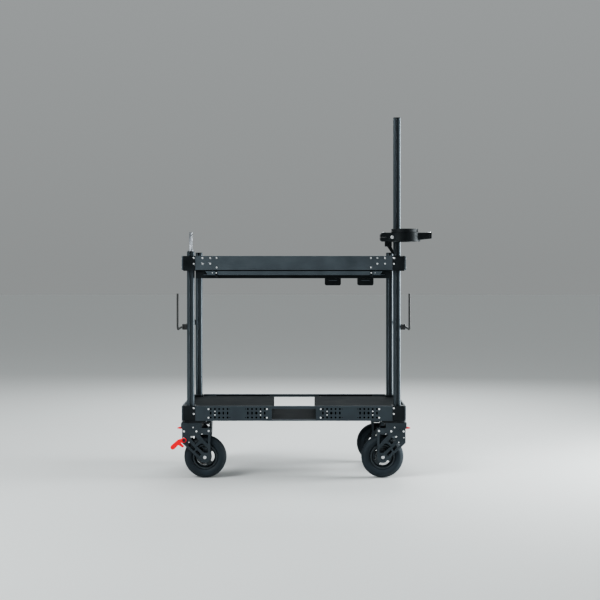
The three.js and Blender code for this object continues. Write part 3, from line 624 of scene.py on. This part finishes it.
# Camera mount: a machined black arm clamped round the mast, its left end split
# into two jaws, with a turned bowl in its ring and a clamp lever below.
head_coat = grained("head_black_zinc", (0.012, 0.014, 0.016), (0.024, 0.028, 0.031),
                    rough=0.38, shine=0.35)
arm = finished("camera_mount_arm", block_coat, edge=0.0014, steps=3, angle=40.0)
arm_low, arm_high = box_corners("camera_mount_arm")
bowl_low, bowl_high = box_corners("tripod_bowl")
bowl_middle = (bowl_low + bowl_high) / 2
beam_half_depth = 0.042
beam_face = bowl_middle[1] - beam_half_depth
split_span = (1.1316, 1.1342)
split_reach = 0.027
overrun = 0.01
split = flat_corners((arm_low[0] - overrun, arm_low[1] - overrun),
                     (arm_low[0] + split_reach, arm_high[1] + overrun))
cut_by(arm, *drawn_bar(split, *split_span))
clamp_bolt = (0.4255, beam_face, 1.1318)
screws("mount_clamp_bolt", [clamp_bolt], (0, -1, 0), "camera_mount", radius=0.0078, height=0.0052)
jaw_bolt_inset, jaw_bolt_rows = 0.014, (0.014, 0.070)
jaw_spots = [(arm_low[0] + jaw_bolt_inset, beam_face + y, arm_high[2]) for y in jaw_bolt_rows]
screws("mount_jaw_bolts", jaw_spots, (0, 0, 1), "camera_mount", radius=0.0046, height=0.0032)
end_bolt_inset, end_bolt_rows = 0.0085, (0.016, 0.068)
end_spots = [(arm_high[0] - end_bolt_inset, beam_face + y, arm_high[2]) for y in end_bolt_rows]
screws("mount_end_bolts", end_spots, (0, 0, 1), "camera_mount", radius=0.0046, height=0.0046)
pad_low = (0.566, beam_face - 0.0022, 1.1305)
pad_high = (0.6, beam_face + 0.0005, 1.1485)
rounded_plate("mount_end_pad", pad_low, pad_high, head_coat, "block_black", "camera_mount",
              edge=0.0009)
finished("mount_clamp_lever", pod_coat, edge=0.0012, angle=40.0)
bowl_radius = 0.05
bowl_hole_radius = 0.022
bowl_lip = 0.03
cup = np.linspace(math.asin(bowl_hole_radius / bowl_radius), math.pi / 2 - bowl_lip, 28)
bowl_line = [(bowl_radius * math.sin(a), -bowl_radius * math.cos(a)) for a in cup]
bowl_line += [
    (0.0512, -0.0002), (0.0615, 0.0), (0.0625, -0.001), (0.0625, -0.0055), (0.0612, -0.0065),
    (0.0612, -0.0115), (0.0625, -0.0125), (0.0625, -0.0172), (0.0617, -0.018), (0.0537, -0.018),
    (0.0537, -0.045), (0.0532, -0.0458), (0.031, -0.0608), (0.0225, -0.061)]
bowl_line.append(bowl_line[0])
bowl_coat = grained("bowl_anodised", (0.012, 0.014, 0.016), (0.022, 0.026, 0.029),
                    rough=0.5, metal=0.4, shine=0.3)
bowl_top = (bowl_middle[0], bowl_middle[1], bowl_high[2])
bowl = made("tripod_bowl_turned", *turned_skin(bowl_line, bowl_top, (0, 0, 1), sides=96),
            bowl_coat, "post_black", "camera_mount")
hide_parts("tripod_bowl")

# Casters: a black plated swivel head, screwed under each lower corner, carries
# a fork of two pierced aluminium plates with a lock housing and two spacers.
fork_coat = grained("fork_anodised", (0.030, 0.039, 0.047), (0.046, 0.058, 0.067), rough=0.44)
casters = {
    # place of the kingpin, degrees of turn
    "fl": ((-0.490, -0.155), 180.0), "fr": ((0.432, -0.155), 0.0),
    "rl": ((-0.490, 0.335), 90.0), "rr": ((0.432, 0.335), 0.0),
}


def on_caster(points, caster):
    """Points of a caster that trails along -X are turned about the kingpin and moved to it."""
    (x, y), degrees = casters[caster]
    turn = math.radians(degrees)
    spin = np.array([
        [math.cos(turn), math.sin(turn), 0.0], [-math.sin(turn), math.cos(turn), 0.0],
        [0.0, 0.0, 1.0]])
    return np.asarray(points, float) @ spin + [x, y, 0.0]


def on_caster_facing(facing, caster):
    """A direction of a caster that trails along -X, turned with the caster."""
    origin = on_caster([0.0, 0.0, 0.0], caster)
    return on_caster(facing, caster) - origin


fork_half_width = 0.041
fork_screws = {
    "large": (0.0047, [(-0.061, 0.224), (-0.0035, 0.222), (0.055, 0.2216)]),
    "small": (0.0028, [(-0.029, 0.2095), (0.056, 0.1925)]),
}
housing_screw_x, housing_screw_z = 0.012, 0.2405
housing_screw_heights = {"near": 0.0018, "far": 0.0003}
plate_screws = [(x, y, 0.2629) for x in (-0.038, 0.038) for y in (-0.035, 0.035)]
spacers = {"upper": (0.020, 0.1945), "lower": (0.040, 0.1722)}
spacer_line = [(0.0, -0.0335), (0.0042, -0.0335), (0.0042, -0.026), (0.0052, -0.025),
               (0.0052, 0.025), (0.0042, 0.026), (0.0042, 0.0335), (0.0, 0.0335)]
for caster in casters:
    finished(f"caster_{caster}_swivel_head", head_coat, edge=0.0012, angle=40.0)
    finished(f"caster_{caster}_fork", fork_coat, edge=0.0009, angle=30.0)
    for way, side in ((-1, "near"), (1, "far")):
        facing = on_caster_facing((0, way, 0), caster)
        for size, (radius, spots) in fork_screws.items():
            screws(f"caster_{caster}_fork_{size}_screws_{side}",
                   on_caster([(x, way * fork_half_width, z) for x, z in spots], caster), facing,
                   f"caster_{caster}_fork", radius, height=0.0024)
        screws(f"caster_{caster}_housing_screw_{side}",
               on_caster([(housing_screw_x, way * fork_half_width, housing_screw_z)], caster),
               facing, f"caster_{caster}_fork", radius=0.0036,
               height=housing_screw_heights[side])
    screws(f"caster_{caster}_plate_screws", on_caster(plate_screws, caster), (0, 0, -1),
           "cart_frame", radius=0.0052, height=0.0042, sink=0.0006, coat=head_coat,
           slot="head_black")
    for name, (x, z) in spacers.items():
        made(f"caster_{caster}_spacer_{name}",
             *turned_skin(spacer_line, on_caster([x, 0.0, z], caster),
                          on_caster_facing((0, 1, 0), caster), sides=24),
             steel_coat, "steel_bright", f"caster_{caster}_fork")

# Wheels: a black cast rim with kidney windows on a bright through bolt, and an
# air tyre with grooves round its tread and fine ribs on its shoulders.
rim_coat = grained("rim_satin_black", (0.026, 0.033, 0.038), (0.048, 0.058, 0.066), rough=0.30)
axle_height = 0.1001359
wheel_trail = 0.043
rim_half_line = [
    (0.0063, 0.0302), (0.0163, 0.0302), (0.0175, 0.029), (0.0182, 0.0088), (0.0205, 0.0062),
    (0.024, 0.0058), (0.0455, 0.0058), (0.0478, 0.0075), (0.0493, 0.012), (0.0501, 0.0205),
    (0.0508, 0.0219), (0.0578, 0.022), (0.0585, 0.0213), (0.0585, 0.0178), (0.0577, 0.017),
    (0.0535, 0.0145)]
rim_line = rim_half_line + [(r, -y) for r, y in rim_half_line[::-1]]
rim_line.append(rim_line[0])


def kidney_pegs(inner, outer, sweep, count, start_angle, reach):
    """Curved windows as closed pegs along the axle: in polar terms, angle and radius go as
    the cosine and sine of one parameter, each raised to a low power so that corners fill out."""
    sides, fullness = 36, 0.55
    t = np.arange(sides) * (2 * math.pi / sides)
    wide = np.sign(np.cos(t)) * np.abs(np.cos(t)) ** fullness
    deep = np.sign(np.sin(t)) * np.abs(np.sin(t)) ** fullness
    radius = (inner + outer) / 2 + (outer - inner) / 2 * deep
    points = []
    for index in range(count):
        angle = start_angle + 2 * math.pi * index / count + sweep / 2 * wide
        ring = np.stack([radius * np.cos(angle), np.zeros(sides), radius * np.sin(angle)], axis=1)
        points += [ring + [0, -reach, 0], ring + [0, reach, 0]]
    return np.concatenate(points), bar_faces(count, sides)


def tyre_skin():
    """An air tyre turned about Y. Its section is an ellipse from bead to bead; three grooves
    step the crown inwards, and a square-edged wave of the angle ribs both shoulders."""
    steps, ribs = 288, 72
    around = np.arange(steps) * (2 * math.pi / steps)
    a = np.linspace(math.radians(-150), math.radians(150), 66)
    half_width, middle_radius, section_height = 0.0268, 0.0765, 0.0236
    across = half_width * np.sign(np.sin(a)) * np.abs(np.sin(a)) ** 0.92
    radius = middle_radius + section_height * np.cos(a)
    groove_lines, groove_wall = (-0.0085, 0.0, 0.0085), 0.0009
    groove = sum(np.clip(1.6 - np.abs(across - line) / groove_wall, 0.0, 1.0)
                 for line in groove_lines) * (np.cos(a) > 0.5)
    shoulder = np.clip(1.0 - np.abs(np.degrees(np.abs(a)) - 56.0) / 14.0, 0.0, 0.45) / 0.45
    wave = np.clip(0.5 + 1.4 * np.cos(ribs * around + math.pi / 4), 0.0, 1.0)
    groove_depth, rib_depth = 0.0013, 0.0011
    shrink = groove_depth * groove[:, None] + rib_depth * shoulder[:, None] * wave[None]
    ring = radius[:, None] - shrink * np.cos(a)[:, None]
    out = across[:, None] - rib_depth * (shoulder * np.sin(a))[:, None] * wave[None]
    skin = np.stack([ring * np.cos(around), out, ring * np.sin(around)], axis=-1)
    bead_radius, bead_half_width = 0.0541, 0.0138
    beads = np.stack([
        np.stack([bead_radius * np.cos(around), np.full(steps, side * bead_half_width),
                  bead_radius * np.sin(around)], axis=1)
        for side in (1, -1)])
    points = np.concatenate([skin, beads])
    here = np.arange(len(points) * steps).reshape(len(points), steps)
    return points.reshape(-1, 3), ring_quads(np.vstack([here, here[:1]])).tolist()


tyre_coat = grained("tyre_rubber", (0.0058, 0.0112, 0.0158), (0.0132, 0.0232, 0.0320),
                    rough=0.62, grain=1100.0, depth=0.00008, metal=0.0, shine=0.35)
tyre_shader = tyre_coat.node_tree.nodes["Principled BSDF"]
tyre_shader.inputs["Sheen Weight"].default_value = 0.04
tyre_shader.inputs["Sheen Roughness"].default_value = 0.6
bolt_end = 0.0481
bolt_line = [
    (0.0, -bolt_end + 0.0035), (0.0045, -bolt_end + 0.0035), (0.0045, -bolt_end),
    (0.0068, -bolt_end), (0.0078, -bolt_end + 0.0014), (0.0078, -0.0414), (0.006, -0.0412),
    (0.006, 0.0412), (0.0078, 0.0414), (0.0078, bolt_end - 0.0014), (0.0068, bolt_end),
    (0.0045, bolt_end), (0.0045, bolt_end - 0.0035), (0.0, bolt_end - 0.0035)]
tyre_points, tyre_faces = tyre_skin()
# the angle of each rim's first window, in degrees
first_windows = {"fl": -60.0, "fr": -74.0, "rl": -63.0, "rr": -62.0}
centre = np.array([-wheel_trail, 0.0, axle_height])
for caster in casters:
    hub = on_caster(centre, caster)
    along = on_caster_facing((0, 1, 0), caster)
    tyre = made(f"caster_{caster}_tyre_ribbed", on_caster(tyre_points + centre, caster),
                tyre_faces, tyre_coat, "tyre_rubber", f"caster_{caster}_wheel", 50.0)
    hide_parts(f"caster_{caster}_tyre")
    rim = made(f"caster_{caster}_rim_cast", *turned_skin(rim_line, hub, along, sides=96),
               rim_coat, "rim_black", f"caster_{caster}_wheel")
    peg_points, peg_faces = kidney_pegs(
        inner=0.0305, outer=0.0432, sweep=math.radians(78.0), count=3,
        start_angle=math.radians(first_windows[caster]), reach=0.02)
    cut_by(rim, on_caster(peg_points + centre, caster), peg_faces)
    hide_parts(f"caster_{caster}_rim")
    bolt = made(f"caster_{caster}_axle_bolt", *turned_skin(bolt_line, hub, along, sides=32),
                steel_coat, "steel_bright", f"caster_{caster}_fork")
    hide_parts(f"caster_{caster}_axle")

# Brake levers and swivel locks: red moulded levers on dark pivot caps beside
# each fork, and red tabs in the lock housings.
red_coat = grained("lever_red", (0.92, 0.004, 0.016), (0.98, 0.006, 0.022),
                   rough=0.42, grain=600.0, metal=0.0, shine=0.3)
cap_line = [(0.0, 0.0), (0.0078, 0.0), (0.0078, 0.0016), (0.0068, 0.0026), (0.0032, 0.0026),
            (0.003, 0.0016), (0.0, 0.0016)]
brake_pivot = (0.054, 0.0524, 0.181)
for caster in casters:
    finished(f"caster_{caster}_brake_lever", red_coat, edge=0.0014, steps=3,
             angle=30.0)
    finished(f"caster_{caster}_swivel_lock", red_coat, edge=0.0008, angle=25.0)
    made(f"caster_{caster}_brake_cap",
         *turned_skin(cap_line, on_caster(brake_pivot, caster),
                      on_caster_facing((0, 1, 0), caster), sides=32),
         cap_coat, "lever_black", f"caster_{caster}_brake")
